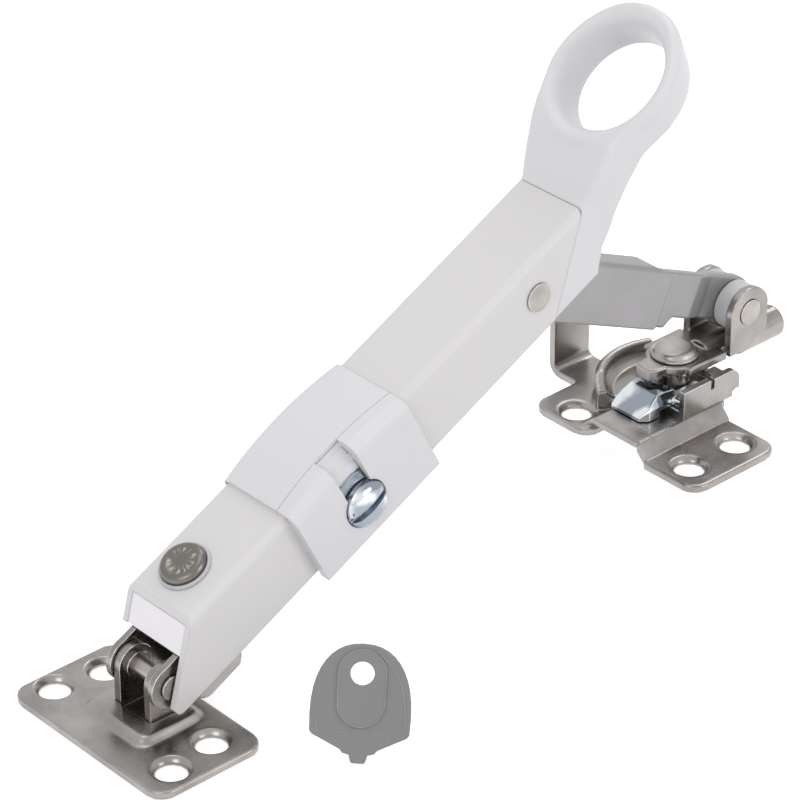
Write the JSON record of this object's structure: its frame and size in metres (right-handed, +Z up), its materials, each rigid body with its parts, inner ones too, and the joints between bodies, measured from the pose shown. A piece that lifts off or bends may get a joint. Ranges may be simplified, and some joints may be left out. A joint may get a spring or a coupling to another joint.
{
  "type": "window restrictor",
  "caption": "Folding two-arm window restrictor with a pull ring, a key lock housing, a screw plate at each end and its flat key.",
  "frame": {"origin": "centre of the sash plate's underside, the face that is screwed to the sash", "axes": "+X from the sash plate towards the frame plate, along the arms; +Z up out of the sash; +Y to the side away from the lock head"},
  "size_m": [0.1687, 0.0646, 0.0968],
  "materials": {
    "stainless": "satin rolled stainless sheet",
    "grey_steel": "satin grey plated steel",
    "white_coat": "satin off-white powder coat",
    "white_plastic": "satin off-white moulded plastic",
    "plug_white": "smooth white plastic",
    "rivet_nickel": "formed rivet heads, darker nickel",
    "zinc_chrome": "bright bluish plated zinc casting",
    "nylon": "grey-white nylon",
    "key_grey": "grey moulded key",
    "spring_steel": "bright spring steel"
  },
  "bodies": {
    "sash": {"sash_plate": "stainless", "sash_clevis": "stainless", "sash_pin": "rivet_nickel", "sash_pin_washers": "stainless", "key": "key_grey"},
    "swivel": {"swivel_link": "stainless", "swivel_spacer": "nylon", "swivel_rivet": "rivet_nickel"},
    "arm": {"arm_profile": "white_coat", "end_plug": "plug_white", "pull_ring": "white_plastic", "elbow_rivet": "rivet_nickel", "elbow_bushes": "nylon", "lock_top_cover": "white_plastic", "lock_side_cover": "white_plastic", "lock_screws": "rivet_nickel"},
    "lock": {"lock_cylinder": "zinc_chrome", "lock_cam": "stainless", "lock_clip": "spring_steel"},
    "link_arm": {"link_sleeve": "grey_steel", "link_bar": "grey_steel"},
    "fork": {"swivel_fork": "stainless", "fork_pin": "rivet_nickel", "fork_washers": "nylon"},
    "frame": {"frame_plate": "stainless", "frame_rivet": "rivet_nickel", "star_washer": "rivet_nickel", "guide_cradle": "stainless", "latch_spring": "spring_steel"},
    "latch": {"latch": "zinc_chrome"}
  },
  "joints": [
    {"name": "sash_hinge", "type": "hinge", "parent": "sash", "child": "swivel", "pos_m": [0.0033, 0, 0.0092], "axis": [0, -1, 0], "range_deg": [-10, 75]},
    {"name": "arm_swivel", "type": "hinge", "parent": "swivel", "child": "arm", "pos_m": [0.01397, 0.0011, 0.02355], "axis": [-0.4509, 0, 0.8926], "range_deg": [0, 25]},
    {"name": "lock_turn", "type": "hinge", "parent": "arm", "child": "lock", "pos_m": [0.04409, 0, 0.0307], "axis": [0, -1, 0], "range_deg": [0, 90]},
    {"name": "elbow", "type": "hinge", "parent": "arm", "child": "link_arm", "pos_m": [0.08657, 0, 0.05462], "axis": [0, -1, 0], "range_deg": [-68, 2]},
    {"name": "fork_hinge", "type": "hinge", "parent": "link_arm", "child": "fork", "pos_m": [0.14458, 0, 0.02855], "axis": [0, -1, 0], "range_deg": [-22, 45]},
    {"name": "frame_swivel", "type": "hinge", "parent": "fork", "child": "frame", "pos_m": [0.13087, 0, 0.01825], "axis": [0, 0, 1], "range_deg": [-40, 40]},
    {"name": "latch_slide", "type": "slide", "parent": "frame", "child": "latch", "axis": [1, 0, 0], "range_m": [0, 0.0025]}
  ]
}
